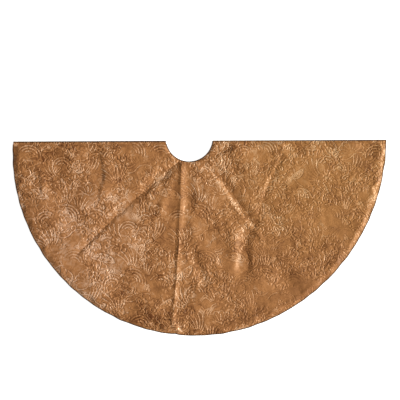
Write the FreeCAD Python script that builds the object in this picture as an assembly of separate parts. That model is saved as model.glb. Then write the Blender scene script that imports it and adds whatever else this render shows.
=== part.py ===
"""Round, lined velvet tree skirt, folded in half and lying flat. Millimetres, +Z up.

The origin is the centre of the trunk hole, on the surface that the skirt lies on. The straight edge
of the half disc runs along X: left of the hole it is the fold, right of it the two edges of the slit
lie on each other. The lower leaf lies face down, the upper leaf lies face up, and the linings meet
inside. The upper leaf opens like the cover of a book, about the outermost line of the fold.
"""
import FreeCAD, Part
import math
import os

# Driving dimensions of the outline, seen from above
RIGHT_RADIUS = 650.0       # hem right of the tangent point
LEFT_RADIUS = 595.4        # hem left of it: the skirt is cut a little out of round
TANGENT_ANGLE = -65.0      # degrees, where the two hem arcs run into each other
HEM_CENTRE_X = -5.5        # the hem is cut a little off the centre of the hole
HEM_CENTRE_Y = -1.3
NECK_RADIUS = 76.0         # a 6 inch trunk hole
FOLD_Y = -8.0              # the fold and the slit lie a little off the centre of the hole
SLIT_SETBACK = 0.3         # keeps the slit edges clear of each other when the skirt is open
FOLD_STRIP = 10.0          # width of cloth beside the fold that bends with it
FOLD_CLEARANCE = 0.3       # between the bending strip and the leaf that swings

# Cloth thicknesses
FACE_THICKNESS = 1.6       # velvet with its pile
LINING_THICKNESS = 0.6
EDGE_THICKNESS = 2.6       # the face cloth turned over at the hem, slit and neck
LEAF_GAP = 0.8             # between the two turned edges
STACK_HEIGHT = 2 * EDGE_THICKNESS + LEAF_GAP
MIDDLE_Z = STACK_HEIGHT / 2

# Seam
TURNED_EDGE = 4.0          # width of face cloth that rolls to the lining side
SEAM_WIDTH = 0.8           # the thread lies in the ditch between the turned edge and the lining
TURNING_GAP_START = -112.0  # degrees round the left hem arc, closed by hand after turning
TURNING_GAP_END = -98.0

# Hook and loop closure of the slit
PATCH_LENGTH = 30.0
PATCH_WIDTH = 20.0
PATCH_THICKNESS = 1.0
PATCH_EDGE_DISTANCE = 7.0  # from the slit edge to the patch
PATCH_PLACES = {"neck": 110.0, "middle": 345.0, "hem": 585.0}
STITCH_INSET = 2.0
STITCH_THICKNESS = 0.3
STITCH_WIDTH = 0.6

# Care label, caught in the slit seam
LABEL_X = 455.0
LABEL_WIDTH = 25.0
LABEL_LENGTH = 45.0
LABEL_THICKNESS = 0.3

CUTTER_MARGIN = 1.0        # how far a cutting shape runs past what it cuts


def point(x, y, z=0.0):
    return FreeCAD.Vector(x, y, z)


def polar(centre, radius, degrees):
    angle = math.radians(degrees)
    return centre + point(radius * math.cos(angle), radius * math.sin(angle))


HOLE_CENTRE = point(0, 0)
RIGHT_CENTRE = point(HEM_CENTRE_X, HEM_CENTRE_Y)
LEFT_CENTRE = polar(RIGHT_CENTRE, RIGHT_RADIUS - LEFT_RADIUS, TANGENT_ANGLE)


def half_width(radius, height):
    """Half the chord of a circle, at a height above or below its centre."""
    return math.sqrt(radius ** 2 - height ** 2)


def leaf_outline(inset, fold_cut_y):
    """A leaf's face seen from above, drawn in from hem, slit and neck, and cut straight beside the fold."""
    slit_y = FOLD_Y - SLIT_SETBACK - inset
    right_radius = RIGHT_RADIUS - inset
    left_radius = LEFT_RADIUS - inset
    neck_radius = NECK_RADIUS + inset
    right_chord = half_width(right_radius, slit_y - RIGHT_CENTRE.y)
    right_corner = point(RIGHT_CENTRE.x + right_chord, slit_y)
    tangent = polar(RIGHT_CENTRE, right_radius, TANGENT_ANGLE)
    left_chord = half_width(left_radius, fold_cut_y - LEFT_CENTRE.y)
    left_corner = point(LEFT_CENTRE.x - left_chord, fold_cut_y)
    neck_left = point(-half_width(neck_radius, fold_cut_y), fold_cut_y)
    neck_right = point(half_width(neck_radius, slit_y), slit_y)
    edges = [
        Part.Arc(right_corner, polar(RIGHT_CENTRE, right_radius, TANGENT_ANGLE / 2), tangent),
        Part.Arc(tangent, polar(LEFT_CENTRE, left_radius, (TANGENT_ANGLE - 180) / 2), left_corner),
        Part.LineSegment(left_corner, neck_left),
        Part.Arc(neck_left, point(0, -neck_radius), neck_right),
        Part.LineSegment(neck_right, right_corner),
    ]
    return Part.Face(Part.Wire([edge.toShape() for edge in edges]))


def layer(inset, fold_cut_y, bottom, top):
    """A flat layer of a leaf between two heights."""
    face = leaf_outline(inset, fold_cut_y)
    face.translate(point(0, 0, bottom))
    return face.extrude(point(0, 0, top - bottom))


def to_upper(shape):
    """The upper leaf is the lower leaf's mirror image about the middle of the stack."""
    return shape.mirror(point(0, 0, MIDDLE_Z), point(0, 0, 1))


def block(x, y, z, length, width, height):
    """A box given by its lowest corner."""
    return Part.makeBox(length, width, height, point(x, y, z))


def leaf_face(fold_cut_y):
    """Face cloth: a plate with its edge turned over round hem, slit and neck."""
    plate = layer(0, fold_cut_y, 0, EDGE_THICKNESS)
    hollow = layer(TURNED_EDGE, fold_cut_y + CUTTER_MARGIN, FACE_THICKNESS, EDGE_THICKNESS + CUTTER_MARGIN)
    return plate.cut(hollow)


def leaf_lining(fold_cut_y):
    top = FACE_THICKNESS + LINING_THICKNESS
    return layer(TURNED_EDGE + SEAM_WIDTH, fold_cut_y, FACE_THICKNESS, top)


def leaf_seam(fold_cut_y):
    """Thread in the ditch between the turned edge and the lining, from the fold round to the fold."""
    top = FACE_THICKNESS + LINING_THICKNESS
    outside = layer(TURNED_EDGE, fold_cut_y, FACE_THICKNESS, top)
    inside = layer(
        TURNED_EDGE + SEAM_WIDTH, fold_cut_y + CUTTER_MARGIN, FACE_THICKNESS - CUTTER_MARGIN, top + CUTTER_MARGIN
    )
    return outside.cut(inside)


def turning_gap_sector():
    """A sector across the left hem, used to part the hand stitching from the machine seam."""
    near = LEFT_RADIUS / 2
    reach = RIGHT_RADIUS + CUTTER_MARGIN
    first = polar(LEFT_CENTRE, near, TURNING_GAP_START)
    corners = [
        first,
        polar(LEFT_CENTRE, reach, TURNING_GAP_START),
        polar(LEFT_CENTRE, reach, TURNING_GAP_END),
        polar(LEFT_CENTRE, near, TURNING_GAP_END),
        first,
    ]
    return Part.Face(Part.makePolygon(corners)).extrude(point(0, 0, STACK_HEIGHT))


def bent_strip(outer_radius, thickness):
    """Cloth that runs out beside the fold, round it and back, along the whole fold."""
    bend_y = FOLD_Y - STACK_HEIGHT / 2
    start_y = FOLD_Y - FOLD_STRIP
    x = -RIGHT_RADIUS
    length = RIGHT_RADIUS
    lower_z = MIDDLE_Z - outer_radius
    upper_z = MIDDLE_Z + outer_radius - thickness
    lower = block(x, start_y, lower_z, length, bend_y - start_y, thickness)
    upper = block(x, start_y, upper_z, length, bend_y - start_y, thickness)
    axis_start = point(x, bend_y, MIDDLE_Z)
    ring = Part.makeCylinder(outer_radius, length, axis_start, point(1, 0, 0))
    ring = ring.cut(Part.makeCylinder(outer_radius - thickness, length, axis_start, point(1, 0, 0)))
    half = block(x, bend_y, 0, length, STACK_HEIGHT, STACK_HEIGHT)
    bend = ring.common(half)
    return lower.fuse(bend).fuse(upper).removeSplitter()


def fold_ends():
    """The space between neck and hem, which the strip beside the fold is trimmed to."""
    top = STACK_HEIGHT + CUTTER_MARGIN
    disc = Part.makeCylinder(LEFT_RADIUS, top, LEFT_CENTRE)
    hole = Part.makeCylinder(NECK_RADIUS, top, HOLE_CENTRE)
    left = block(-RIGHT_RADIUS, FOLD_Y - FOLD_STRIP, 0, RIGHT_RADIUS, FOLD_STRIP, top)
    return disc.common(left).cut(hole)


def patch(place, bottom):
    y = FOLD_Y - SLIT_SETBACK - PATCH_EDGE_DISTANCE - PATCH_WIDTH
    return block(place - PATCH_LENGTH / 2, y, bottom, PATCH_LENGTH, PATCH_WIDTH, PATCH_THICKNESS)


def patch_stitching(place, bottom):
    """A rectangle of thread just inside a patch's edge."""
    y = FOLD_Y - SLIT_SETBACK - PATCH_EDGE_DISTANCE - PATCH_WIDTH
    x = place - PATCH_LENGTH / 2
    rings = []
    for inset in (STITCH_INSET, STITCH_INSET + STITCH_WIDTH):
        length = PATCH_LENGTH - 2 * inset
        width = PATCH_WIDTH - 2 * inset
        rings.append(block(x + inset, y + inset, bottom, length, width, STITCH_THICKNESS))
    return rings[0].cut(rings[1])


def care_label():
    """A blank tab under the upper lining, held in the slit seam."""
    top = STACK_HEIGHT - FACE_THICKNESS - LINING_THICKNESS
    seam_y = FOLD_Y - SLIT_SETBACK - TURNED_EDGE - SEAM_WIDTH
    return block(LABEL_X, seam_y - LABEL_LENGTH, top - LABEL_THICKNESS, LABEL_WIDTH, LABEL_LENGTH, LABEL_THICKNESS)


def make_parts():
    lower_cut = FOLD_Y - FOLD_STRIP
    upper_cut = lower_cut - FOLD_CLEARANCE
    gap = turning_gap_sector()
    ends = fold_ends()
    machine_seam = leaf_seam(lower_cut)
    parts = {
        "lower_face": leaf_face(lower_cut),
        "lower_lining": leaf_lining(lower_cut),
        "lower_edge_seam": machine_seam.cut(gap),
        "turning_gap_stitching": machine_seam.common(gap),
        "upper_face": to_upper(leaf_face(upper_cut)),
        "upper_lining": to_upper(leaf_lining(upper_cut)),
        "upper_edge_seam": to_upper(leaf_seam(upper_cut)),
        "fold_face": bent_strip(MIDDLE_Z, FACE_THICKNESS).common(ends),
        "fold_lining": bent_strip(MIDDLE_Z - FACE_THICKNESS, LINING_THICKNESS).common(ends),
        "care_label": care_label(),
    }
    upper_lining_underside = STACK_HEIGHT - FACE_THICKNESS - LINING_THICKNESS
    hook_z = upper_lining_underside - PATCH_THICKNESS
    for name, place in PATCH_PLACES.items():
        loop = patch(place, STITCH_THICKNESS)
        pressed_pile = patch(place, 0).fuse(loop)
        parts["lower_face"] = parts["lower_face"].cut(pressed_pile)
        parts["loop_patch_" + name] = loop
        parts["loop_stitching_" + name] = patch_stitching(place, 0)
        parts["hook_patch_" + name] = patch(place, hook_z)
        parts["hook_stitching_" + name] = patch_stitching(place, hook_z - STITCH_THICKNESS)
    return parts


os.makedirs("parts", exist_ok=True)
for node, shape in make_parts().items():
    shape = shape.removeSplitter()
    shape.exportStep("parts/" + node + ".step")
    print(node, "solids", len(shape.Solids), "valid", shape.isValid(), "volume", round(shape.Volume, 1))
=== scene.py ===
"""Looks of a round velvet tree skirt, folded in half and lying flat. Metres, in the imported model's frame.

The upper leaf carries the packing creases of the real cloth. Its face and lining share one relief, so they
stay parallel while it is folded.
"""

import math

import bpy
import numpy as np
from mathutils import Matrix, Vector


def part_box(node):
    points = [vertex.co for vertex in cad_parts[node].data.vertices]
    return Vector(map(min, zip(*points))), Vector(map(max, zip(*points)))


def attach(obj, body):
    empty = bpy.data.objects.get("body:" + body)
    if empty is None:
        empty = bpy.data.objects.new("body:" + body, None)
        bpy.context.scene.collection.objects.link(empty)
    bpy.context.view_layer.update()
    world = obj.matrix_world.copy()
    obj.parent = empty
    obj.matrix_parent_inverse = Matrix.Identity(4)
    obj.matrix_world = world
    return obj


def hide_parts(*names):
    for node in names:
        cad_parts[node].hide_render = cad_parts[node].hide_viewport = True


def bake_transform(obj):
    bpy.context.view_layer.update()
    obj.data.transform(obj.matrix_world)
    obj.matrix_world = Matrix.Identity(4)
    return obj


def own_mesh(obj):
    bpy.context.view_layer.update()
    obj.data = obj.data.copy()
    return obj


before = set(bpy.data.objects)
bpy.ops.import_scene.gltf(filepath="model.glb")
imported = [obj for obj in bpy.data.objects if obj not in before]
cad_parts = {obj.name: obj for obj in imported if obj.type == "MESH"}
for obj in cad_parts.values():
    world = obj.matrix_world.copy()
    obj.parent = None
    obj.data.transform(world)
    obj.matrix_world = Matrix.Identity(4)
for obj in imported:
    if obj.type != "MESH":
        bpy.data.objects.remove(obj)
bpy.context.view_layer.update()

MM = 0.001

# Outline, as the CAD model has it
RIGHT_RADIUS = 650.0 * MM
LEFT_RADIUS = 595.4 * MM
TANGENT_ANGLE = math.radians(-65.0)
NECK_RADIUS = 76.0 * MM
EDGE_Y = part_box("upper_face")[1][1]  # the slit edge, right of the hole
FOLD_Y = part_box("fold_face")[1][1]  # the outermost line of the fold, left of it
FOLD_CUT_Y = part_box("fold_face")[0][1]  # where the leaves hand over to the bending strip
RIGHT_CENTRE = np.array([-5.5 * MM, -1.3 * MM])
TANGENT_DIRECTION = np.array([math.cos(TANGENT_ANGLE), math.sin(TANGENT_ANGLE)])
LEFT_CENTRE = RIGHT_CENTRE + (RIGHT_RADIUS - LEFT_RADIUS) * TANGENT_DIRECTION
RIGHT_ARC_TOP = 0.2  # radians, a little past the slit's end of the right arc

# Heights
TOP_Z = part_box("upper_face")[1][2]
MIDDLE_Z = TOP_Z / 2
LEAF_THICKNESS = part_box("lower_face")[1][2]  # at the turned edge
LINING_DEPTH = TOP_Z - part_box("upper_lining")[0][2]  # from the face's outside to the lining's inside
LOWER_LINING_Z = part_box("lower_lining")[1][2]
ROLL_RADIUS = LEAF_THICKNESS / 2
BEND_Y = FOLD_Y - MIDDLE_Z  # where the strip starts to turn round the fold
STRIP_LENGTH = 2 * (BEND_Y - FOLD_CUT_Y) + math.pi * MIDDLE_Z
TURNED_EDGE = 4.0 * MM
ROLL_SHARE = 0.7  # of the way round the edge that counts as cloth
LINING_INSET = 4.6 * MM
TUCK = 0.5 * MM
TUCK_WIDTH = 3.0 * MM

# Small pieces
SEAM_INSET = 4.35 * MM
SEAM_PITCH = 3.6 * MM
HAND_PITCH = 5.2 * MM
TURNING_GAP = (-112.0, -98.0)  # degrees round the left hem arc
LINING_CREASES = 0.22  # share of the relief that shows in an open lining
PATCH_CORNER = 2.0 * MM
PATCH_BEVEL = (0.25 * MM, 0.1 * MM)  # inwards, and up the side
BASE_SHARE = {"hook": 0.45, "loop": 0.55}  # share of a patch's thickness that is woven base
PILE_PITCH = {"hook": 1.5 * MM, "loop": 1.2 * MM}
PILE_MARGIN = (3.4 * MM, 3.2 * MM)  # bare border of a patch, at its low and its high side
PILE_JITTER = {"hook": 0.03, "loop": 0.3}  # share of the pitch
PILE_SWEEP = {"hook": 215, "loop": 180}  # degrees that the arch turns through
PILE_HALF_WIDTH = {"hook": 0.09 * MM, "loop": 0.08 * MM}
PILE_STEPS = 6
MACHINE_STITCH = (1.5 * MM, 0.3 * MM, 0.25 * MM)  # half length, half width, half height
HAND_STITCH = (1.9 * MM, 0.35 * MM, 0.28 * MM)
PATCH_STITCH = (1.05 * MM, 0.28 * MM, 0.15 * MM)
PATCH_STITCH_PITCH = 2.6 * MM
LABEL_LIFT = 0.9 * MM
LABEL_SHEET = 0.15 * MM
LABEL_RIPPLE = 0.12 * MM
LABEL_GRID = (20, 36)  # points across and down

# Mesh density
FINE = 1
COLUMNS = 900 // FINE
ROWS = 300 // FINE
BEND_STEPS = 41
ROLL_STEPS = 8

RNG_SEED = 48


# ---- outline

def on_circle(centre, radius, angle):
    """Points on a circle at angles in radians."""
    return np.stack([centre[0] + radius * np.cos(angle), centre[1] + radius * np.sin(angle)], axis=-1)


def hem_points(share, inset):
    """Points along the hem, from the slit at share 0 to the fold at share 1."""
    right_radius = RIGHT_RADIUS - inset
    left_radius = LEFT_RADIUS - inset
    first = math.asin((EDGE_Y - inset - RIGHT_CENTRE[1]) / right_radius)
    last = -math.pi - math.asin((FOLD_CUT_Y - LEFT_CENTRE[1]) / left_radius)
    right_length = right_radius * (first - TANGENT_ANGLE)
    left_length = left_radius * (TANGENT_ANGLE - last)
    run = share * (right_length + left_length)
    right_angle = first - np.minimum(run, right_length) / right_radius
    left_angle = TANGENT_ANGLE - (run - right_length) / left_radius
    on_right = on_circle(RIGHT_CENTRE, right_radius, right_angle)
    on_left = on_circle(LEFT_CENTRE, left_radius, left_angle)
    return np.where((run < right_length)[..., None], on_right, on_left)


def neck_points(share, inset):
    """Points along the trunk hole, from the slit at share 0 to the fold at share 1."""
    radius = NECK_RADIUS + inset
    first = math.asin((EDGE_Y - inset) / radius)
    last = -math.pi - math.asin(FOLD_CUT_Y / radius)
    return on_circle((0.0, 0.0), radius, first + share * (last - first))


def leaf_grid(columns, rows, inset):
    """Flat points of a leaf, rows from neck to hem and columns from slit to fold."""
    share = np.linspace(0, 1, columns)[None, :]
    t = np.linspace(0, 1, rows)[:, None, None]
    return neck_points(share, inset) * (1 - t) + hem_points(share, inset) * t


def smooth(value):
    """Eases from 0 to 1, and stays there outside that range."""
    value = np.clip(value, 0, 1)
    return value * value * (3 - 2 * value)


def edge_distances(xy):
    """Distance of each point to the hem, the neck, and the straight edge."""
    x, y = xy[..., 0], xy[..., 1]
    from_right = RIGHT_RADIUS - np.hypot(x - RIGHT_CENTRE[0], y - RIGHT_CENTRE[1])
    from_left = LEFT_RADIUS - np.hypot(x - LEFT_CENTRE[0], y - LEFT_CENTRE[1])
    angle = np.arctan2(y - RIGHT_CENTRE[1], x - RIGHT_CENTRE[0])
    on_right = (angle > TANGENT_ANGLE) & (angle <= RIGHT_ARC_TOP)
    return np.where(on_right, from_right, from_left), np.hypot(x, y) - NECK_RADIUS, EDGE_Y - y


# ---- relief of the upper leaf

PUFF = 5.0 * MM  # how high the cloth stands off, away from its creases
HEM_FALL = 21.0 * MM  # width over which it comes down to the hem
NECK_FALL = 13.0 * MM
STRAIGHT_FALL = 14.0 * MM

# Packing creases, drawn from the hole outward: start and end (mm), height (mm, below 0 is a valley),
# width of the wall right and left of the line as it is drawn (mm), sharp or soft
CREASES = [
    ((-25, -77), (-37, -367), 1.9, 11, 15, "sharp"),  # quarter fold
    ((-24, -96), (-32, -235), 1.8, 30, 22, "soft"),
    ((-37, -367), (-56, -600), 2.7, 12, 15, "sharp"),
    ((-56, -600), (-44, -624), 2.4, 12, 12, "soft"),  # its end turns aside at the hem
    ((2, -88), (-4, -215), -2.0, 26, 30, "soft"),  # the cloth rises again east of it
    ((-4, -215), (-14, -318), -1.8, 20, 28, "soft"),
    ((12, -380), (46, -468), -3.4, 26, 26, "soft"),
    ((-56, -120), (-96, -235), 2.4, 22, 26, "soft"),
    ((-40, -82), (-94, -119), -5.2, 26, 30, "sharp"),  # eighth fold, left
    ((-94, -119), (-140, -166), -5.2, 32, 24, "sharp"),
    ((-140, -166), (-225, -237), -4.2, 38, 18, "sharp"),
    ((-225, -237), (-356, -367), -3.2, 32, 13, "sharp"),
    ((44, -90), (84, -112), -3.4, 16, 26, "soft"),  # eighth fold, right
    ((84, -112), (202, -280), -6.4, 14, 34, "sharp"),
    ((210, -292), (230, -326), 2.6, 16, 16, "soft"),  # the knot where four creases meet
    ((292, -76), (252, -170), -2.1, 12, 20, "sharp"),
    ((252, -170), (209, -290), -1.8, 14, 22, "sharp"),
    ((183, -314), (176, -425), -5.8, 34, 32, "soft"),
    ((143, -320), (137, -420), 2.6, 30, 24, "soft"),
    ((-280, -62), (-272, -124), 3.0, 16, 60, "soft"),
    ((-274, -130), (-286, -186), 2.6, 15, 60, "soft"),
    ((-483, -132), (-480, -162), 2.4, 11, 30, "soft"),
    ((70, -60), (128, -32), -2.2, 14, 18, "soft"),  # a dip and a bulge along the slit
    ((140, -40), (285, -25), 2.4, 15, 15, "soft"),
    ((310, -30), (410, -48), 2.0, 15, 15, "soft"),
]

# Painted highlights, glints along the lit walls of folds: start and end (mm), half width (mm)
GLINT_FOLDS = [
    ((76, -122), (203, -284), 9),
    ((165, -305), (157, -425), 14),
    ((-40, -440), (-54, -585), 6),
    ((-54, -585), (-38, -628), 7),
]

CREASE_FADE = 22.0 * MM
MOST_RELIEF = 9.5 * MM
LEAST_RELIEF = 0.15 * MM
SHARPNESS = 1.5
# Seeded waves: how many, the shortest and the longest, and their steepness
WANDER = (10, 45 * MM, 160 * MM, 0.05)  # of the shift that bends the creases
SWELL = (26, 60 * MM, 170 * MM, 0.075)
RUMPLE = (30, 18 * MM, 45 * MM, 0.055)
PATCHES = ("neck", "middle", "hem")
PRESS_REACH = 30.0 * MM
PRESSED_SHARE = 0.6
HEM_WAVER = 0.6 * MM
SHIFT_REACH = 30.0 * MM
NOTCH_TURN = -1.645  # where the quarter fold meets the hem, in radians from +X
NOTCH_WIDTH = 0.014
NOTCH_DEPTH = 2.6 * MM
HEM_PUCKERS = (0.35, 64, 17)  # share of the fall, then puckers and groups of them in a full turn
BULGE = 2.5 * MM
BULGE_INSET = 20.0 * MM
BULGE_WIDTH = 13.0 * MM
BULGE_FROM = -78.0  # degrees round from +X
BULGE_TO = -3.0
BULGE_FADE = (22.0, 14.0)  # degrees over which it rises and dies away
BULGE_UNEVEN = (0.58, 0.42)
BULGE_SWAY = 0.2


def segment_distance(xy, start, end):
    """Distance to the right of a line as drawn, below 0 on its left, and distance past its nearer end."""
    start, end = np.array(start) * MM, np.array(end) * MM
    length = np.linalg.norm(end - start)
    along_line = (end - start) / length
    to_point = xy - start
    along = to_point @ along_line
    across = to_point[..., 0] * along_line[1] - to_point[..., 1] * along_line[0]
    past = np.maximum(np.maximum(-along, along - length), 0)
    return across, past


def crease_height(xy, start, end, height, right, left, kind):
    """Height that one crease adds."""
    across, past = segment_distance(xy, start, end)
    width = np.where(across > 0, right, left) * MM
    share = np.clip(np.abs(across) / width, 0, 1)
    profile = (1 - share) ** SHARPNESS if kind == "sharp" else 0.5 + 0.5 * np.cos(math.pi * share)
    return height * MM * profile * np.exp(-(past / CREASE_FADE) ** 2)


def fold_glint(xy):
    """How strongly painted glints brighten the cloth along a lit fold, 0 to 1."""
    place = wandered(xy)
    most = np.zeros(xy.shape[:-1])
    for start, end, width in GLINT_FOLDS:
        across, past = segment_distance(place, start, end)
        most = np.maximum(most, np.exp(-(across / (width * MM)) ** 2 - (past / CREASE_FADE) ** 2))
    return most


def hem_turn(xy):
    """Angle round the trunk hole, in radians from +X."""
    return np.arctan2(xy[..., 1], xy[..., 0])


def hem_bulge(xy, hem):
    """The cloth stands up in an uneven roll beside the right hem, and falls steeply from it."""
    turn = hem_turn(xy)
    angle = np.degrees(turn)
    rise, fade = BULGE_FADE
    share = smooth((angle - BULGE_FROM) / rise) * smooth((BULGE_TO - angle) / fade)
    even, swing = BULGE_UNEVEN
    uneven = even + swing * np.sin(turn * 23) * np.sin(turn * 9.5 + 1)
    inset = BULGE_INSET * (1 + BULGE_SWAY * np.sin(turn * 14))
    return BULGE * share * uneven * np.exp(-((hem - inset) / BULGE_WIDTH) ** 2)


def waves(xy, count, shortest, longest, slope, seed):
    """A sum of seeded waves, all of about the same steepness."""
    rng = np.random.default_rng(seed)
    total = np.zeros(xy.shape[:-1])
    for _ in range(count):
        length = shortest * (longest / shortest) ** rng.random()
        angle = rng.random() * math.tau
        phase = rng.random() * math.tau
        along = xy[..., 0] * math.cos(angle) + xy[..., 1] * math.sin(angle)
        total += slope * length / math.tau * np.sin(along * math.tau / length + phase)
    return total / math.sqrt(count)


def wandered(xy):
    """Places shifted by a few millimetres, so that no crease runs dead straight."""
    shift = [waves(xy, *WANDER, RNG_SEED + seed) for seed in (5, 6)]
    return xy + np.stack(shift, axis=-1)


def pressed(xy):
    """Share of its height that the cloth keeps where a hook patch sewn under it holds it down."""
    free = np.ones(xy.shape[:-1])
    for name in PATCHES:
        low, high = (np.array(corner[:2]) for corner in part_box("hook_patch_" + name))
        outside = np.maximum(np.maximum(low - xy, xy - high), 0)
        away = smooth(np.hypot(outside[..., 0], outside[..., 1]) / PRESS_REACH)
        free = np.minimum(free, PRESSED_SHARE + (1 - PRESSED_SHARE) * away)
    return free


def relief_parts(xy):
    """Height of the puffed and creased cloth, and how far its edges and patches let it stand up."""
    height = np.full(xy.shape[:-1], PUFF)
    place = wandered(xy)
    for crease in CREASES:
        height += crease_height(place, *crease)
    height += waves(xy, *SWELL, RNG_SEED)
    height += waves(xy, *RUMPLE, RNG_SEED + 1)
    hem, neck, straight = edge_distances(xy)
    height += hem_bulge(xy, hem)
    from_cut = np.where(xy[..., 0] < 0, FOLD_CUT_Y - xy[..., 1], straight)
    turn = hem_turn(xy)
    share, puckers, groups = HEM_PUCKERS
    hem_fall = HEM_FALL * (1 + share * np.sin(turn * puckers) * np.sin(turn * groups))
    fall = smooth(hem / hem_fall) * smooth(neck / NECK_FALL) * smooth(from_cut / STRAIGHT_FALL)
    return np.clip(height, LEAST_RELIEF, MOST_RELIEF), fall * pressed(xy)


def relief(xy):
    """Height of the upper leaf over its CAD face."""
    height, share = relief_parts(xy)
    return height * share


def creases_alone(xy):
    """The same relief, measured from the level of the puffed cloth."""
    height, share = relief_parts(xy)
    return (height - PUFF) * share


def hem_shift(xy):
    """The sewn hem wavers, and is drawn in at the foot of the quarter fold."""
    turn = hem_turn(xy)
    hem, _, straight = edge_distances(xy)
    # Two ripples round the hem, each of which swells and dies away
    ripple = np.sin(turn * 71 + 1) * np.sin(turn * 12) + 0.8 * np.sin(turn * 43) * np.sin(turn * 5 + 2)
    notch = np.exp(-((turn - NOTCH_TURN) / NOTCH_WIDTH) ** 2)
    near = np.exp(-(np.maximum(hem, 0) / SHIFT_REACH) ** 2) * smooth(straight / SHIFT_REACH)
    out = (HEM_WAVER * ripple - NOTCH_DEPTH * notch) * near
    return xy * (1 + out / np.hypot(xy[..., 0], xy[..., 1]))[..., None]


# ---- embossed pattern
# One repeat is TILE_X by TILE_Y millimetres and holds the motif twice, half a repeat apart.
# The tile stores the distance to the nearest raised line, so lines stay crisp on any mesh.

TILE_X = 431
TILE_Y = 420
HALF_DROP = ((0, 0), (TILE_X / 2, TILE_Y / 2))
FARTHEST = 7.0  # distance that the tile stores where no line is near
SPRIGS = 110  # small ornaments that fill the ground between the large ones
PATTERN_ORIGIN = (33.0 * MM, -256.0 * MM)


def arc(x, y, radius, first, last):
    """Points along an arc, in degrees anticlockwise."""
    steps = max(6, int(abs(last - first) / 9))
    return on_circle((x, y), radius, np.radians(np.linspace(first, last, steps)))


def away(x, y, distance, turn):
    """The point at a distance from another, in a direction in degrees."""
    angle = math.radians(turn)
    return x + distance * math.cos(angle), y + distance * math.sin(angle)


def bend(x, y, angle, length, curl):
    """A line that sets off at an angle and turns by curl degrees over its length."""
    t = np.linspace(0, 1, 12)
    heading = np.radians(angle + curl * t)
    step = length / (len(t) - 1)
    px = x + np.concatenate([[0], np.cumsum(np.cos(heading[:-1]))]) * step
    py = y + np.concatenate([[0], np.cumsum(np.sin(heading[:-1]))]) * step
    return np.stack([px, py], axis=-1)


def shell(x, y, radius, turn, spread=105, ribs=4, pitch=9.0):
    """Concentric ribs round a plain middle, open on one side and shorter inside."""
    return [(arc(x, y, radius - pitch * rib, turn - spread + 9 * rib, turn + spread - 15 * rib), 1.1)
            for rib in range(ribs)]


def stem(x, y, turn, length, curl):
    """A long line that swings one way and then the other."""
    first = bend(x, y, turn, length / 2, curl)
    second = bend(first[-1][0], first[-1][1], turn + curl, length / 2, -curl)
    return [(np.concatenate([first, second[1:]]), 0.9)]


def leaf(x, y, length, turn, curl):
    """A pointed leaf: two edges, a midrib and veins."""
    spread, vein_pitch, vein_turn = 34, 11, 48
    lines = [(bend(x, y, turn + side * spread, length, curl - side * 2 * spread), 1.0) for side in (-1, 1)]
    rib = bend(x, y, turn, length * 0.9, curl)
    lines.append((rib, 0.9))
    count = int(length / vein_pitch)
    for index in range(1, count):
        foot = rib[int(index / count * (len(rib) - 1))]
        heading = turn + curl * index / count
        reach = length * 0.24 * math.sin(math.pi * index / count)
        for side in (-1, 1):
            lines.append((bend(*foot, heading + side * vein_turn, reach, -side * vein_turn / 2), 0.7))
    return lines


def plume(x, y, length, turn, curl, barbs, pitch=6.4):
    """Long parallel strands that leave a point side by side and curl the same way."""
    lines = []
    for barb in range(barbs):
        offset = barb - (barbs - 1) / 2
        heading = turn + offset * pitch * 1.9
        reach = length * (0.72 - 0.05 * abs(offset))
        lines.append((bend(*away(x, y, length * 0.3, heading), heading, reach, curl), 0.9))
    return lines


def rosette(x, y, radius, first, last, petals):
    """Part of a flower head: scalloped petal ends, and a line up the middle of each petal."""
    lines = []
    lobe = radius * math.radians(last - first) / petals / 2
    for index in range(petals):
        turn = first + (last - first) * (index + 0.5) / petals
        lines.append((arc(*away(x, y, radius, turn), lobe, turn - 95, turn + 95), 1.0))
        lines.append((bend(*away(x, y, radius * 0.42, turn), turn, radius * 0.5, 18), 0.8))
    return lines


def sprigs():
    """Small leaves, plumes, shells and stems strewn all over the tile."""
    rng = np.random.default_rng(RNG_SEED + 60)
    strewn = []
    for index in range(SPRIGS):
        x, y = rng.random() * TILE_X, rng.random() * HALF_DROP[1][1]
        turn, size = rng.random() * 360, 0.8 + 0.5 * rng.random()
        curl = (1 if rng.random() < 0.5 else -1) * (30 + 60 * rng.random())
        if index % 4 == 0:
            lines = leaf(x, y, 40 * size, turn, curl / 2)
        elif index % 4 == 1:
            lines = plume(x, y, 48 * size, turn, curl, 4, 7.0)
        elif index % 4 == 2:
            lines = shell(x, y, 24 * size, turn, 85, 3, 7.5)
        else:
            lines = stem(x, y, turn, 70 * size, curl) + stem(x + 8, y + 6, turn + 12, 54 * size, curl)
        strewn.append(((x, y), 15 * size, lines))
    return strewn


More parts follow.
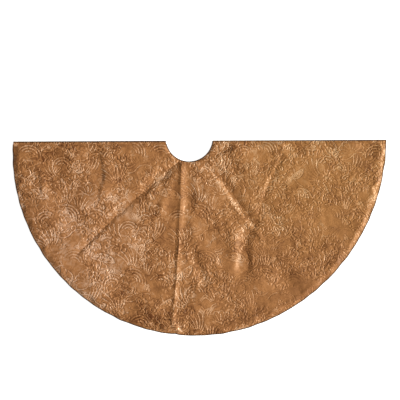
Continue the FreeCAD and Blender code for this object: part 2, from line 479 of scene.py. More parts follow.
def ornaments():
    """(middle in mm, clear radius in mm, lines) of each ornament. A later one covers what lies under it."""
    return sprigs() + [
        ((-60, -70), 46, plume(-52, -112, 92, 104, 40, 8)),
        ((-150, 10), 46, rosette(-150, -6, 36, -10, 190, 8) + stem(-192, -22, 330, 92, 80)),
        ((150, -70), 46, plume(190, -96, 92, 156, -46, 7)),
        ((-100, 80), 42, leaf(-62, 60, 80, 148, 34)),
        ((10, -66), 30, stem(-36, -46, 335, 104, 90) + stem(-34, -62, 330, 96, 84)),
        ((168, 20), 42, leaf(130, 8, 80, 12, 44)),
        ((72, 84), 42, rosette(66, 66, 38, 20, 200, 7) + stem(26, 60, 70, 84, -100)),
        ((-70, -6), 34, shell(-70, -16, 34, 118, 70, 3)),
        ((-20, 74), 36, plume(-8, 28, 84, 84, 44, 6)),
        ((104, -62), 34, stem(66, -36, 345, 104, -80) + leaf(80, -88, 56, 18, 30)),
        ((-196, 70), 38, shell(-196, 60, 37, 74, 78, 3)),
        ((44, 38), 28, plume(44, 4, 62, 96, -30, 5)),
        ((-134, -62), 30, plume(-170, -84, 84, 40, 50, 4, 5.0) + stem(-168, -44, 10, 90, -70)),
        ((138, 64), 32, leaf(112, 44, 58, 36, -40)),
        ((198, -34), 30, shell(198, -46, 30, 96, 74, 3)),
        ((90, -8), 40, shell(90, -16, 40, 80, 68, 3)),
        ((2, 4), 42, shell(-4, -2, 42, 44, 66, 4)),
    ]


def draw_line(tile, points, half_width):
    """Lowers the tile to the distance from a line, wrapping round at its edges."""
    for start, end in zip(points[:-1], points[1:]):
        low = np.floor(np.minimum(start, end) - FARTHEST).astype(int)
        high = np.ceil(np.maximum(start, end) + FARTHEST).astype(int)
        xs, ys = np.meshgrid(np.arange(low[0], high[0] + 1), np.arange(low[1], high[1] + 1))
        span = end - start
        share = ((xs - start[0]) * span[0] + (ys - start[1]) * span[1]) / max(span @ span, 1e-9)
        share = np.clip(share, 0, 1)
        distance = np.hypot(xs - start[0] - share * span[0], ys - start[1] - share * span[1]) - half_width
        rows, cols = ys % TILE_Y, xs % TILE_X
        tile[rows, cols] = np.minimum(tile[rows, cols], distance)


def clear_disc(tile, middle, radius):
    """Rubs out the lines within a disc of the tile."""
    reach = int(radius)
    xs, ys = np.meshgrid(np.arange(-reach, reach + 1), np.arange(-reach, reach + 1))
    inside = np.hypot(xs, ys) < radius
    rows = (ys[inside] + int(middle[1])) % TILE_Y
    cols = (xs[inside] + int(middle[0])) % TILE_X
    tile[rows, cols] = FARTHEST


def make_tile():
    """The distance to the nearest raised line, for each millimetre of one repeat."""
    tile = np.full((TILE_Y, TILE_X), FARTHEST)
    for middle, radius, lines in ornaments():
        for shift in HALF_DROP:
            clear_disc(tile, np.add(middle, shift), radius)
            for points, half_width in lines:
                draw_line(tile, points + np.array(shift), half_width)
    return tile


def sample_tile(tile, xy):
    """Bilinear value of the repeating tile at points in metres."""
    px = (xy[..., 0] - PATTERN_ORIGIN[0]) / MM % TILE_X
    py = (xy[..., 1] - PATTERN_ORIGIN[1]) / MM % TILE_Y
    x0, y0 = np.floor(px).astype(int), np.floor(py).astype(int)
    fx, fy = px - x0, py - y0
    x0, y0 = x0 % TILE_X, y0 % TILE_Y
    x1, y1 = (x0 + 1) % TILE_X, (y0 + 1) % TILE_Y
    low = tile[y0, x0] * (1 - fx) + tile[y0, x1] * fx
    high = tile[y1, x0] * (1 - fx) + tile[y1, x1] * fx
    return low * (1 - fy) + high * fy


LINE_TILE = make_tile()
EMBOSS = 0.45 * MM
EMBOSS_FLANK = 2.0  # width of a raised line's side, in mm
EMBOSS_FADE = 5.0 * MM


def emboss(xy):
    """Height of the raised lines over the ground."""
    return EMBOSS * smooth(1 - sample_tile(LINE_TILE, xy) / EMBOSS_FLANK)


# ---- mesh helpers

def grid_faces(rows, columns, flip=False):
    """Quads between neighbouring points of a grid, wound the other way round if flip is set."""
    index = np.arange(rows * columns).reshape(rows, columns)
    corners = [index[:-1, :-1], index[1:, :-1], index[1:, 1:], index[:-1, 1:]]
    quads = np.stack(corners, axis=-1).reshape(-1, 4)
    return quads[:, ::-1] if flip else quads


def add_object(name, data):
    """A new object in the scene."""
    made = bpy.data.objects.new(name, data)
    bpy.context.scene.collection.objects.link(made)
    return made


def new_piece(name, points, faces, material, body, node):
    mesh = bpy.data.meshes.new(name)
    corners = faces.tolist() if isinstance(faces, np.ndarray) else faces
    mesh.from_pydata(np.asarray(points).tolist(), [], corners)
    mesh.validate()
    mesh.shade_smooth()
    mesh.materials.append(material)
    piece = add_object(name, mesh)
    if body:
        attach(piece, body)
    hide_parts(node)
    return piece


def store(piece, name, values):
    """Keeps a value or a vector for each point of a piece, for its material to read."""
    values = np.asarray(values, np.float32)
    kind, field = ("FLOAT_VECTOR", "vector") if values.ndim == 2 else ("FLOAT", "value")
    attribute = piece.data.attributes.new(name, kind, "POINT")
    attribute.data.foreach_set(field, values.ravel())


def store_place(piece, flat):
    """Stores the flat place of each point on the cloth."""
    store(piece, "cloth", np.concatenate([flat, np.zeros((len(flat), 1))], axis=1))


def store_cloth(piece, flat, from_edge):
    """Stores each point's flat place, and its distances from a raised line and from a free edge."""
    store_place(piece, flat)
    store(piece, "line", sample_tile(LINE_TILE, flat))
    store(piece, "edge", from_edge)


def leaf_rim(columns, inset):
    """Points round a leaf's free edge: the hem from fold to slit, then the slit, then the neck."""
    share = np.linspace(0, 1, columns)
    hem = hem_points(share[::-1], inset)
    neck = neck_points(share[::max(1, columns // 200)], inset)
    slit = [hem[-1] * (1 - t) + neck[0] * t for t in np.linspace(0, 1, columns // 4)[1:-1]]
    return np.concatenate([hem, slit, neck])


def leaf_points(flat, z):
    """Points of a leaf's grid at their heights, with the hem's wavering."""
    return np.concatenate([hem_shift(flat), z[..., None]], axis=-1).reshape(-1, 3)


def run_along(path):
    """Distance along a flat path to each of its points."""
    return np.concatenate([[0], np.cumsum(np.hypot(*np.diff(path, axis=0).T))])


def outward(points):
    """Unit directions out of a rim, square to it, averaged at corners."""
    step = np.gradient(points, axis=0)
    step /= np.linalg.norm(step, axis=1)[:, None]
    return np.stack([step[:, 1], -step[:, 0]], axis=1)


def roll_profile(radius, back, steps):
    """(outward, downward) offsets of cloth that rolls round an edge and runs back under it."""
    angles = np.linspace(0, math.pi, steps + 1)
    rolled = [(radius * math.sin(a), radius * (1 - math.cos(a))) for a in angles]
    return rolled + [(-back * share, 2 * radius) for share in (0.5, 1.0)]


def face_leaf(name, columns, rows, surface, sign, body, node):
    """Face cloth of one leaf inside its edge. sign is 1 facing up, -1 facing down."""
    flat = leaf_grid(columns, rows, ROLL_RADIUS)
    z = surface(flat) + sign * emboss(flat) * smooth(edge_fade(flat))
    faces = grid_faces(rows, columns, sign < 0)
    piece = new_piece(name, leaf_points(flat, z), faces, VELVET, body, node)
    store_cloth(piece, cloth_place(flat.reshape(-1, 2), sign), nearest_edge(flat).ravel())
    # Painted highlights: glints along lit folds, on the upper face only
    folds = fold_glint(flat) if sign > 0 else np.zeros(flat.shape[:-1])
    store(piece, "rubbed_and_glint", folds.ravel())
    return piece


def turned_edge(name, columns, outside_z, sign, body, node):
    """The face cloth rolled round hem, slit and neck to the lining side."""
    rim = leaf_rim(columns, ROLL_RADIUS)
    normal = outward(rim)
    points, flats = [], []
    for out, down in roll_profile(ROLL_RADIUS, TURNED_EDGE - ROLL_RADIUS, ROLL_STEPS):
        level = np.full((len(rim), 1), outside_z - sign * down)
        points.append(np.concatenate([hem_shift(rim) + normal * out, level], axis=1))
        flats.append(rim + normal * (out + ROLL_SHARE * down))
    faces = grid_faces(len(points), len(rim), sign < 0)
    piece = new_piece(name, np.concatenate(points), faces, VELVET, body, node)
    flat = np.concatenate(flats)
    # An edge distance of 0 gives the whole turned edge the painted dark outline of shade
    store_cloth(piece, cloth_place(flat, sign), np.zeros(len(flat)))
    return piece


def cloth_place(flat, sign):
    """Where points lie on the one uncut cloth: the lower leaf is its mirror image beyond the fold."""
    if sign > 0:
        return flat
    return np.stack([flat[:, 0], 2 * FOLD_CUT_Y + STRIP_LENGTH - flat[:, 1]], axis=1)


def nearest_edge(flat):
    """Distance of each point to the nearest free edge. The fold isn't one."""
    hem, neck, straight = edge_distances(flat)
    return np.minimum(np.minimum(hem, neck), np.where(flat[..., 0] > 0, straight, 1.0))


def edge_fade(flat):
    """The emboss is pressed flat at the rolled edges."""
    return nearest_edge(flat) / EMBOSS_FADE


def lining_leaf(name, columns, rows, surface, sign, body, node):
    """Lining of one leaf, tucked into the ditch beside the turned edge. sign is as for face_leaf."""
    flat = leaf_grid(columns, rows, LINING_INSET)
    hem, neck, straight = edge_distances(flat)
    near = np.minimum(np.minimum(hem, neck), straight)
    tuck = TUCK * (1 - smooth((near - LINING_INSET) / TUCK_WIDTH))
    z = surface(flat) - sign * tuck
    faces = grid_faces(rows, columns, sign < 0)
    piece = new_piece(name, leaf_points(flat, z), faces, LINING, body, node)
    store_place(piece, flat.reshape(-1, 2))
    return piece


def fold_strip(name, columns, radius, lining):
    """Cloth that comes off the lower leaf, bends round the fold and joins the upper leaf."""
    share = np.linspace(0, 1, columns)
    straight = BEND_Y - FOLD_CUT_Y
    angles = np.linspace(-math.pi / 2, math.pi / 2, BEND_STEPS)
    profile = [(FOLD_CUT_Y + straight * t, -radius) for t in (0, 0.35, 0.7)]
    profile += [(BEND_Y + radius * math.cos(a), radius * math.sin(a)) for a in angles]
    profile += [(FOLD_CUT_Y + straight * t, radius) for t in (0.7, 0.35, 0)]
    run = run_along(np.array(profile))
    inset = LINING_INSET if lining else ROLL_RADIUS
    points, flats = [], []
    for (y, above), done in zip(profile, run):
        chord = min(y, BEND_Y)
        left = LEFT_CENTRE[0] - math.sqrt((LEFT_RADIUS - inset) ** 2 - (chord - LEFT_CENTRE[1]) ** 2)
        right = -math.sqrt((NECK_RADIUS + inset) ** 2 - chord ** 2)
        x = left + (right - left) * share
        points.append(np.stack([x, np.full(columns, y), np.full(columns, MIDDLE_Z + above)], axis=1))
        flats.append(np.stack([x, np.full(columns, FOLD_CUT_Y + run[-1] - done)], axis=1))
    faces = grid_faces(len(profile), columns, lining)
    material, slot, node = (LINING, "lining", "fold_lining") if lining else (VELVET, "velvet", "fold_face")
    piece = new_piece(name, np.concatenate(points), faces, material, None, node)
    flat = np.concatenate(flats)
    if lining:
        store_place(piece, flat)
    else:
        # Along its crest the fold gets the painted dark outline of shade too
        store_cloth(piece, flat, FOLD_SHADE_SCALE * np.abs(flat[:, 1] - FOLD_CUT_Y - run[-1] / 2))
    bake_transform(piece)


# ---- stitches, patches and label

BEAD_RINGS = ((-1.0, 0.25), (-0.7, 0.8), (0.0, 1.0), (0.7, 0.8), (1.0, 0.25))
BEAD_SIDES = 6


def spaced(path, pitch):
    """Points and headings along a flat path, a pitch apart."""
    run = run_along(path)
    at = np.arange(pitch / 2, run[-1], pitch)
    middles, ahead = (np.stack([np.interp(where, run, path[:, axis]) for axis in (0, 1)], axis=1)
                      for where in (at, at + pitch / 3))
    heading = ahead - middles
    return middles, np.arctan2(heading[:, 1], heading[:, 0])


def stitches(name, middles, headings, z, size, body, node, slant=0.1, uneven=0.0):
    """Thread between two needle holes at each middle: size is half length, half width, half height."""
    rng = np.random.default_rng(RNG_SEED + 20)
    half_length, half_width, half_height = size
    points, faces = [], []
    for middle, heading in zip(middles, headings):
        turn = heading + slant + uneven * rng.normal()
        reach = half_length * (1 + uneven * rng.normal())
        along = np.array([math.cos(turn), math.sin(turn)])
        across = np.array([-along[1], along[0]])
        first = len(points)
        for place, girth in BEAD_RINGS:
            for side in range(BEAD_SIDES):
                angle = math.tau * side / BEAD_SIDES
                flat = middle + along * place * reach + across * math.cos(angle) * half_width * girth
                points.append((flat[0], flat[1], z + math.sin(angle) * half_height * girth))
        for ring in range(len(BEAD_RINGS) - 1):
            for side in range(BEAD_SIDES):
                a = first + ring * BEAD_SIDES + side
                b = first + ring * BEAD_SIDES + (side + 1) % BEAD_SIDES
                faces.append((b, a, a + BEAD_SIDES, b + BEAD_SIDES))
        last = first + (len(BEAD_RINGS) - 1) * BEAD_SIDES
        faces.append(tuple(range(first, first + BEAD_SIDES)))
        faces.append(tuple(range(last + BEAD_SIDES - 1, last - 1, -1)))
    new_piece(name, points, faces, THREAD, body, node)


def rounded_rectangle(low, high, radius, inset=0.0, steps=5):
    """Points round a rectangle with round corners, anticlockwise."""
    points = []
    corners = ((high[0], high[1], 0), (low[0], high[1], 90), (low[0], low[1], 180), (high[0], low[1], 270))
    for x, y, first in corners:
        cx = x - math.copysign(radius, x - (low[0] + high[0]) / 2)
        cy = y - math.copysign(radius, y - (low[1] + high[1]) / 2)
        for step in range(steps + 1):
            angle = math.radians(first + 90 * step / steps)
            reach = radius - inset
            points.append((cx + reach * math.cos(angle), cy + reach * math.sin(angle)))
    return np.array(points)


def tape_patch(name, node, kind, body, material):
    """A patch of hook or loop tape: a woven base with round corners, and hooks or loops hanging from it."""
    low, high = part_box(node)
    back_z, front_z = high[2], low[2]
    base_z = back_z + (front_z - back_z) * BASE_SHARE[kind]
    bevel_in, bevel_up = PATCH_BEVEL
    levels = ((0.0, back_z), (0.0, base_z + bevel_up), (bevel_in, base_z))
    points, faces = [], []
    for inset, z in levels:
        points += [(x, y, z) for x, y in rounded_rectangle(low, high, PATCH_CORNER, inset)]
    count = len(points) // len(levels)
    for level in range(len(levels) - 1):
        for index in range(count):
            a, b = level * count + index, level * count + (index + 1) % count
            faces.append((b, a, a + count, b + count))
    faces.append(tuple(range(count)))
    faces.append(tuple(range((len(levels) - 1) * count, len(levels) * count))[::-1])
    rng = np.random.default_rng(RNG_SEED + 30)
    pitch = PILE_PITCH[kind]
    margin, far_margin = PILE_MARGIN
    for x in np.arange(low[0] + margin, high[0] - far_margin, pitch):
        for y in np.arange(low[1] + margin, high[1] - far_margin, pitch):
            turn = 0.0 if kind == "hook" else rng.random() * math.tau
            shift = rng.normal(size=2) * PILE_JITTER[kind] * pitch
            add_loop(points, faces, (x + shift[0], y + shift[1], base_z), front_z - base_z, turn, kind)
    new_piece(name, points, faces, material, body, node)


def add_loop(points, faces, foot, height, turn, kind):
    """One hook, or one loop of yarn: a thin square tube along an arch."""
    span = abs(height) * 1.1
    along = (math.cos(turn), math.sin(turn))
    first = len(points)
    for step in range(PILE_STEPS + 1):
        angle = math.radians(180 - PILE_SWEEP[kind] * step / PILE_STEPS)
        out, up = span / 2 * math.cos(angle), height * math.sin(angle)
        up = up if up * height > 0 else up * 0.5
        thick = PILE_HALF_WIDTH[kind] * (1 if step < PILE_STEPS else 0.5)
        for a, b in ((-1, -1), (1, -1), (1, 1), (-1, 1)):
            reach = out + b * thick * math.cos(angle)
            rise = up + b * thick * math.sin(angle) * math.copysign(1, height)
            points.append((foot[0] + along[0] * reach - along[1] * a * thick,
                           foot[1] + along[1] * reach + along[0] * a * thick, foot[2] + rise))
    for step in range(PILE_STEPS):
        for side in range(4):
            a, b = first + step * 4 + side, first + step * 4 + (side + 1) % 4
            faces.append((a, b, b + 4, a + 4))
    faces.append((first, first + 3, first + 2, first + 1))
    faces.append(tuple(first + PILE_STEPS * 4 + side for side in range(4)))


def patch_stitches(name, node, body):
    """Thread round a patch, just inside its edge."""
    low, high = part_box(node)
    loop = rounded_rectangle(low, high, 1.0 * MM, 0.3 * MM)
    middles, headings = spaced(np.concatenate([loop, loop[:1]]), PATCH_STITCH_PITCH)
    stitches(name, middles, headings, (low[2] + high[2]) / 2, PATCH_STITCH, body, node, slant=0.0)


def label_piece():
    """A blank satin tab whose lower corners lift off the lining."""
    low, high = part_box("care_label")
    columns, rows = LABEL_GRID
    across, down = np.meshgrid(np.linspace(0, 1, columns), np.linspace(0, 1, rows))
    x = low[0] + (high[0] - low[0]) * across
    y = high[1] + (low[1] - high[1]) * down
    lift = LABEL_LIFT * smooth((down - 0.35) / 0.65) * (0.35 + 0.65 * (2 * across - 1) ** 2)
    z = high[2] - LABEL_SHEET - lift + LABEL_RIPPLE * np.sin(down * 9 + across * 2)
    top = np.stack([x, y, z], axis=-1).reshape(-1, 3)
    under = top - np.array([0, 0, LABEL_SHEET])
    count = rows * columns
    index = np.arange(count).reshape(rows, columns)
    border = np.concatenate([index[0, :], index[1:, -1], index[-1, -2::-1], index[-2:0:-1, 0]])
    after = np.roll(border, -1)
    sides = np.stack([border, after, after + count, border + count], axis=1)
    faces = np.concatenate([grid_faces(rows, columns), grid_faces(rows, columns, True) + count, sides])
    piece = new_piece("care_label_tab", np.concatenate([top, under]), faces, LABEL, "upper_half",
                      "care_label")
    store_place(piece, np.concatenate([top, top])[:, :2])


# ---- materials

FOLD_SHADE_SCALE = 0.55  # the painted dark outline of shade spreads over a wider band on the fold than at an edge
RIM_SHADE = (2.0 * MM, 4.8 * MM)  # painted shade, a dark outline: full within the first distance from a free edge, gone beyond the second
WHITE = (1, 1, 1, 1)
BAND = math.tau / 20  # length of one band of a wave texture at scale 1


class Nodes:
    """Short names for building a material's node tree."""

    def __init__(self, name):
        self.material = bpy.data.materials.new(name)
        self.material.use_nodes = True
        self.tree = self.material.node_tree
        self.shader = self.tree.nodes["Principled BSDF"]

    def add(self, kind, settings=(), **inputs):
        node = self.tree.nodes.new("ShaderNode" + kind)
        for key, value in dict(settings).items():
            setattr(node, key, value)
        for key, value in inputs.items():
            self.set(node, key, value)
        return node

    def set(self, node, key, value):
        """Sets or links an input: key is its name, with _ for a space, or i and its number."""
        numbered = key[0] == "i" and key[1:].isdigit()
        socket = node.inputs[int(key[1:]) if numbered else key.replace("_", " ")]
        if hasattr(value, "is_output"):
            self.tree.links.new(value, socket)
        else:
            socket.default_value = value

    def attribute(self, name, output):
        return self.add("Attribute", {"attribute_name": name}).outputs[output]

    def math(self, operation, first, second=0.0, third=0.0):
        return self.add("Math", {"operation": operation}, i0=first, i1=second, i2=third).outputs[0]

    def noise(self, vector, scale, detail=2.0, roughness=0.5):
        texture = self.add("TexNoise", Vector=vector, Scale=scale, Detail=detail, Roughness=roughness)
        return texture.outputs[0]

    def bands(self, vector, direction, scale, distortion, **more):
        settings = {"bands_direction": direction}
        wave = self.add("TexWave", settings, Vector=vector, Scale=scale, Distortion=distortion, **more)
        return wave.outputs["Fac"]

    def remap(self, value, low, high, to_low=0.0, to_high=1.0, eased=True):
        kind = {"interpolation_type": "SMOOTHSTEP" if eased else "LINEAR"}
        limits = {"From_Min": low, "From_Max": high, "To_Min": to_low, "To_Max": to_high}
        return self.add("MapRange", kind, Value=value, **limits).outputs[0]

    def distance(self, vector, place):
        return self.add("VectorMath", {"operation": "DISTANCE"}, i0=vector, i1=place).outputs["Value"]

    def mix(self, share, first, second, kind="MIX"):
        settings = {"data_type": "RGBA", "blend_type": kind}
        return self.add("Mix", settings, i0=share, i6=first, i7=second).outputs[2]

    def multiply(self, first, second):
        return self.mix(1.0, first, second, "MULTIPLY")

    def weigh(self, first, share, second):
        """The sum of share times the first and the rest times the second."""
        rest = self.math("MULTIPLY", second, 1 - share)
        return self.math("ADD", self.math("MULTIPLY", first, share), rest)

    def bump(self, strength, distance, height):
        return self.add("Bump", Strength=strength, Distance=distance, Height=height).outputs[0]

    def finish(self, **inputs):
        for key, value in inputs.items():
            self.set(self.shader, key, value)
        return self.material


def colour(red, green, blue):
    """A colour given as it looks on screen, 0 to 255."""
    def linear(value):
        value /= 255
        return value / 12.92 if value <= 0.04045 else ((value + 0.055) / 1.055) ** 2.4
    return (linear(red), linear(green), linear(blue), 1.0)


# Places on the cloth where its looks drift
WORN_CENTRE = (0.40, -0.38, 0)
GOLDEN_CENTRE = (0.45, -0.10, 0)
ROSY_CENTRE = (-0.42, -0.36, 0)
# Painted light and shade: patches where the cloth is lighter or darker as the light falls on it: centre,
# reach, and step of tone
LIGHT_AND_SHADE_PATCHES = (
    ((-0.33, -0.36, 0), 0.32, 0.13),
    ((0.42, -0.50, 0), 0.38, -0.14),
    ((-0.20, -0.66, 0), 0.24, -0.13),
    ((0.10, -0.68, 0), 0.24, -0.09),
    ((-0.52, -0.04, 0), 0.24, -0.07),
)
# Shares of the tone, from 0, deep pile, to 1, rubbed bright
GROUND_TONE = 0.46
LINE_TONE = 0.28
CURL_TONE = 0.22
CLOUD_TONE = 0.35
CURL_WAVES = 33.0  # ridges of the curls over the whole range of their noise
CURL_POWER = 2.2
CURL_MIDDLE = 0.36
LINE_FRAY = 2.6  # millimetres by which a line's edge is uneven
BESIDE_SHADE = 0.5  # the painted shade beside a line is this much darker than the line is lighter
GLINT = (0.7, 0.13)  # painted glints along a lit fold: more contrast, and lighter
GOLDEN = (0.957, 1.0, 0.775, 1)
ROSY = (0.99, 1.0, 1.11, 1)


def velvet():
    """Crushed pile with lighter raised lines and painted shade beside them, painted glints along lit folds,
    painted light and shade patches, and a painted dark outline of shade at the edges.
    """
    n = Nodes("embossed_velvet")
    cloth = n.attribute("cloth", "Vector")
    line = n.attribute("line", "Fac")
    edge = n.attribute("edge", "Fac")

    fray = n.math("MULTIPLY", n.math("SUBTRACT", n.noise(cloth, 150.0, 1.0), 0.5), LINE_FRAY)
    ragged = n.math("ADD", line, fray)
    # Patches where the raised lines are worn faint
    rubbed_and_glint = n.remap(n.noise(cloth, 22.0, 3.0, 0.6), 0.38, 0.60, 0.2, 1.0)
    drawn = n.math("MULTIPLY", n.remap(ragged, 1.5, 0.0), rubbed_and_glint)
    # Painted shade in a band beside each raised line
    beside = n.math("MULTIPLY", n.remap(ragged, 1.2, 2.4), n.remap(ragged, 4.6, 3.0))

    # Small curls between the raised lines: ridges of a noise
    busy = n.noise(cloth, 9.0, 2.0)
    zone = n.remap(busy, 0.40, 0.54, 0.15, 1.1)
    wave = n.math("COSINE", n.math("MULTIPLY", n.noise(cloth, 44.0, 1.2, 0.5), CURL_WAVES))
    curl = n.math("POWER", n.math("MULTIPLY_ADD", wave, 0.5, 0.5), CURL_POWER)
    curls = n.math("MULTIPLY", n.math("SUBTRACT", curl, CURL_MIDDLE), zone)
    mottle = n.math("SUBTRACT", n.noise(cloth, 13.0, 3.8, 0.95), 0.5)
    cloudy = n.math("MULTIPLY", n.math("SUBTRACT", n.noise(cloth, 4.0, 1.0), 0.5), CLOUD_TONE)

    # The tone of the pile, fainter where it is worn, and with painted glints along lit folds
    sharp = n.remap(n.distance(cloth, WORN_CENTRE), 0.24, 0.48, 0.62, 1.0)
    speckle = n.math("MULTIPLY", mottle, n.remap(busy, 0.40, 0.54, 1.4, 2.0))
    fine = n.math("ADD", n.math("MULTIPLY", curls, CURL_TONE), speckle)
    fine = n.math("ADD", fine, cloudy)
    fold = n.attribute("rubbed_and_glint", "Fac")
    glint = n.math("MULTIPLY", fold, n.math("MULTIPLY_ADD", fine, *GLINT))
    tone = n.math("MULTIPLY_ADD", fine, sharp, glint)
    lines = n.math("SUBTRACT", drawn, n.math("MULTIPLY", beside, BESIDE_SHADE))
    tone = n.math("ADD", tone, n.math("MULTIPLY", n.math("MULTIPLY", lines, sharp), LINE_TONE))
    tone = n.math("ADD", tone, GROUND_TONE)
    # Painted light and shade patches, lighter or darker tone round each centre
    for centre, reach, step in LIGHT_AND_SHADE_PATCHES:
        tone = n.math("ADD", tone, n.remap(n.distance(cloth, centre), 0.0, reach, step, 0.0))

    base = n.mix(n.remap(tone, 0.0, 0.5, eased=False), colour(98, 48, 8), colour(175, 119, 70))
    base = n.mix(n.remap(tone, 0.5, 1.1, eased=False), base, colour(236, 194, 156))
    golden = n.remap(n.distance(cloth, GOLDEN_CENTRE), 0.10, 0.45, 0.55, 0.0)
    base = n.multiply(base, n.mix(golden, WHITE, GOLDEN))
    from_rosy = n.remap(n.distance(cloth, ROSY_CENTRE), 0.08, 0.42)
    base = n.multiply(base, n.mix(from_rosy, ROSY, WHITE))
    # Painted shade: a dark outline near each free edge, over the whole turned edge, and along the fold's
    # crest
    base = n.mix(n.remap(edge, *RIM_SHADE, 0.95, 0.0), base, colour(52, 32, 18))
    height = n.math("ADD", drawn, n.math("MULTIPLY", n.math("ADD", curls, mottle), 0.8))
    return n.finish(Base_Color=base, Roughness=n.remap(tone, 0.15, 0.85, 0.56, 0.32),
                    Normal=n.bump(1.0, 1.3 * MM, height), Sheen_Weight=0.05, Sheen_Roughness=0.5,
                    Sheen_Tint=colour(255, 220, 190), Specular_IOR_Level=0.8,
                    Specular_Tint=colour(255, 220, 184))


def plain_weave(name, dark, light, pitch, roughness):
    """A plain woven cloth with a thread every pitch metres."""
    n = Nodes(name)
    cloth = n.attribute("cloth", "Vector")
    weave = [n.bands(cloth, direction, BAND / pitch, 0.4, Detail=1.0) for direction in ("X", "Y")]
    share = n.weigh(n.noise(cloth, 18.0, 4.0, 0.6), 0.6, n.noise(cloth, 300.0, 2.0))
    base = n.mix(n.remap(share, 0.35, 0.65), colour(*dark), colour(*light))
    bump = n.bump(0.4, 0.2 * MM, n.math("MULTIPLY", *weave))
    return n.finish(Base_Color=base, Roughness=roughness, Normal=bump, Sheen_Weight=0.15)


def spun_thread():
    """Twisted sewing thread."""
    n = Nodes("spun_thread")
    where = n.add("TexCoord").outputs["Object"]
    twist = n.bands(where, "DIAGONAL", 900.0, 1.0)
    tone = n.weigh(n.noise(where, 700.0), 0.6, twist)
    base = n.mix(n.remap(tone, 0.25, 0.75), colour(112, 74, 42), colour(160, 112, 70))
    return n.finish(Base_Color=base, Roughness=0.6, Normal=n.bump(0.5, 0.1 * MM, twist), Sheen_Weight=0.2)


def nylon_tape(name, dark, light, roughness):
    """Woven nylon tape under hooks or loops."""
    n = Nodes(name)
    where = n.add("TexCoord").outputs["Object"]
    rib = n.bands(where, "X", BAND / (0.8 * MM), 0.6)
    tone = n.weigh(n.noise(where, 260.0, 3.0), 0.6, rib)
    base = n.mix(n.remap(tone, 0.25, 0.75), colour(*dark), colour(*light))
    rough = n.remap(tone, 0.2, 0.8, roughness, roughness + 0.15)
    return n.finish(Base_Color=base, Roughness=rough, Normal=n.bump(0.4, 0.1 * MM, rib))


def satin():
    """Blank woven satin, with its floats across the tab."""
    n = Nodes("label_satin")
    cloth = n.attribute("cloth", "Vector")
    floats = n.bands(cloth, "Y", BAND / (0.5 * MM), 0.8)
    tone = n.weigh(n.noise(cloth, 120.0, 3.0), 0.5, floats)
    base = n.mix(n.remap(tone, 0.2, 0.8), colour(222, 214, 200), colour(244, 240, 230))
    rough = n.remap(tone, 0.2, 0.8, 0.30, 0.42)
    bump = n.bump(0.3, 0.05 * MM, floats)
    return n.finish(Base_Color=base, Roughness=rough, Normal=bump, Sheen_Weight=0.2)


VELVET = velvet()
LINING = plain_weave("lining_weave", (126, 82, 48), (150, 102, 62), 0.9 * MM, 0.55)
THREAD = spun_thread()
HOOK_TAPE = nylon_tape("hook_tape_nylon", (96, 66, 40), (124, 88, 56), 0.38)
LOOP_TAPE = nylon_tape("loop_tape_nylon", (104, 72, 44), (138, 98, 62), 0.6)
LABEL = satin()


# ---- leaves

def upper_top(flat):
    return TOP_Z + relief(flat)


def upper_inside(flat):
    return TOP_Z - LINING_DEPTH + relief(flat)


def lower_bottom(flat):
    return EMBOSS * smooth(edge_fade(flat))


def lower_inside(flat):
    return LOWER_LINING_Z + LINING_CREASES * creases_alone(flat)


def make_leaf(half, sign, face_surface, lining_surface, outside_z, columns, rows):
    """Face cloth, turned edge and lining of one leaf."""
    body = half + "_half"
    face = face_leaf(half + "_face_cloth", columns, rows, face_surface, sign, body, half + "_face")
    edge = turned_edge(half + "_turned_edge", COLUMNS, outside_z, sign, body, half + "_face")
    lining = lining_leaf(half + "_lining_cloth", COLUMNS // 2, ROWS // 2, lining_surface, -sign, body,
                         half + "_lining")
    return face, lining


upper_face, upper_lining = make_leaf("upper", 1, upper_top, upper_inside, TOP_Z, COLUMNS, ROWS)
make_leaf("lower", -1, lower_bottom, lower_inside, 0.0, COLUMNS // 2, ROWS // 2)
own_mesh(upper_face)
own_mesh(upper_lining)

fold_strip("fold_face_cloth", COLUMNS // 3, MIDDLE_Z, False)
fold_strip("fold_lining_cloth", COLUMNS // 3, MIDDLE_Z - LOWER_LINING_Z, True)


# ---- seams, closure and label

def in_turning_gap(middles):
    """Which stitches close the gap that was left for turning the skirt out."""
    angle = np.degrees(np.arctan2(middles[:, 1] - LEFT_CENTRE[1], middles[:, 0] - LEFT_CENTRE[0]))
    far = np.hypot(*(middles - LEFT_CENTRE).T) > LEFT_RADIUS / 2
    return far & (angle > TURNING_GAP[0]) & (angle < TURNING_GAP[1])


SEAM_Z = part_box("lower_edge_seam")[1][2]

rim = hem_shift(leaf_rim(COLUMNS, SEAM_INSET))
middles, headings = spaced(rim, SEAM_PITCH)
gap = in_turning_gap(middles)
stitches("lower_seam_stitches", middles[~gap], headings[~gap], SEAM_Z, MACHINE_STITCH, "lower_half",
         "lower_edge_seam")
stitches("upper_seam_stitches", middles, headings, TOP_Z - SEAM_Z, MACHINE_STITCH, "upper_half",
         "upper_edge_seam")
middles, headings = spaced(rim, HAND_PITCH)
gap = in_turning_gap(middles)
stitches("turning_gap_hand_stitches", middles[gap], headings[gap], SEAM_Z, HAND_STITCH, "lower_half",
         "turning_gap_stitching", slant=0.45, uneven=0.12)

TAPES = (("hook", "upper_half", HOOK_TAPE), ("loop", "lower_half", LOOP_TAPE))
for place in PATCHES:
    for kind, body, tape in TAPES:
        tape_patch(f"{kind}_patch_tape_{place}", f"{kind}_patch_{place}", kind, body, tape)
    for kind, body, _ in TAPES:
        patch_stitches(f"{kind}_patch_stitches_{place}", f"{kind}_stitching_{place}", body)

label_piece()


# ---- stage

CAMERA_ROLL = math.radians(0.28)
VIEW_WIDTH = 1.307
LENS = 110.0
SENSOR = 36.0
VIEW_CENTRE = (0.0340, -0.2025)

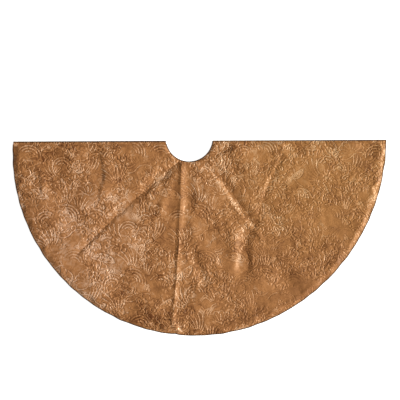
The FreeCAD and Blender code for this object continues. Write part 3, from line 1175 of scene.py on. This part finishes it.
FLOOR_REACH = 40.0
FLOOR_DROP = 0.5 * MM
FLOOR_TONES = ((0.90, 0.90, 0.90, 1), (0.92, 0.92, 0.92, 1))
FLOOR_GLOW = 0.85  # a sweep of white acrylic lit from below

KEY_DIRECTION = (0.855, -0.07, 0.42)
KEY_STRENGTH = 4.5
KEY_ANGLE = math.radians(18)
FILL_PLACE = (1.5, -0.5, 2.6)
FILL_TARGET = (0.04, -0.3, 0)
FILL_SIZE = 2.4
FILL_POWER = 20
FILL_COLOUR = (1.0, 0.88, 0.70)
ROOM_COLOUR = (1, 0.92, 0.80, 1)
ROOM_STRENGTH = 0.16
BACKDROP_COLOUR = (0.90, 0.90, 0.89, 1)


def make_camera():
    """Straight above the skirt, and far enough to see VIEW_WIDTH metres across."""
    data = bpy.data.cameras.new("camera")
    data.lens = LENS
    data.sensor_width = SENSOR
    camera = add_object("camera", data)
    camera.location = (*VIEW_CENTRE, VIEW_WIDTH * LENS / SENSOR + TOP_Z)
    camera.rotation_euler = (0, 0, -CAMERA_ROLL)
    bpy.context.scene.camera = camera


def make_floor():
    """A plain white floor that glows a little."""
    reach = FLOOR_REACH
    corners = [(-reach, -reach, 0), (reach, -reach, 0), (reach, reach, 0), (-reach, reach, 0)]
    mesh = bpy.data.meshes.new("floor")
    mesh.from_pydata(corners, [], [(0, 1, 2, 3)])
    n = Nodes("floor_white")
    where = n.add("TexCoord").outputs["Object"]
    base = n.mix(n.noise(where, 3.0), *FLOOR_TONES)
    mesh.materials.append(n.finish(Base_Color=base, Roughness=0.8, Emission_Color=WHITE,
                                   Emission_Strength=FLOOR_GLOW))
    floor = add_object("floor", mesh)
    floor.location = (0, 0, -FLOOR_DROP)


def make_lights():
    """A low, wide key light from the right and a weak, warm fill from above."""
    sun = bpy.data.lights.new("key", "SUN")
    sun.energy = KEY_STRENGTH
    sun.angle = KEY_ANGLE
    key = add_object("key", sun)
    key.rotation_euler = Vector(KEY_DIRECTION).to_track_quat("Z", "Y").to_euler()
    area = bpy.data.lights.new("top_fill", "AREA")
    area.shape = "SQUARE"
    area.size = FILL_SIZE
    area.energy = FILL_POWER
    area.color = FILL_COLOUR
    fill = add_object("top_fill", area)
    fill.location = FILL_PLACE
    towards = Vector(FILL_TARGET) - Vector(FILL_PLACE)
    fill.rotation_euler = towards.to_track_quat("-Z", "Y").to_euler()


def make_world():
    """A dim warm room that shows as a pale backdrop beyond the floor."""
    world = bpy.data.worlds.new("studio")
    world.use_nodes = True
    tree = world.node_tree
    room = tree.nodes["Background"]
    room.inputs["Color"].default_value = ROOM_COLOUR
    room.inputs["Strength"].default_value = ROOM_STRENGTH
    backdrop = tree.nodes.new("ShaderNodeBackground")
    backdrop.inputs["Color"].default_value = BACKDROP_COLOUR
    seen = tree.nodes.new("ShaderNodeLightPath")
    either = tree.nodes.new("ShaderNodeMixShader")
    tree.links.new(seen.outputs["Is Camera Ray"], either.inputs[0])
    tree.links.new(room.outputs[0], either.inputs[1])
    tree.links.new(backdrop.outputs[0], either.inputs[2])
    tree.links.new(either.outputs[0], tree.nodes["World Output"].inputs["Surface"])
    bpy.context.scene.world = world


make_camera()
make_floor()
make_lights()
make_world()
bpy.context.scene.view_settings.view_transform = "Standard"
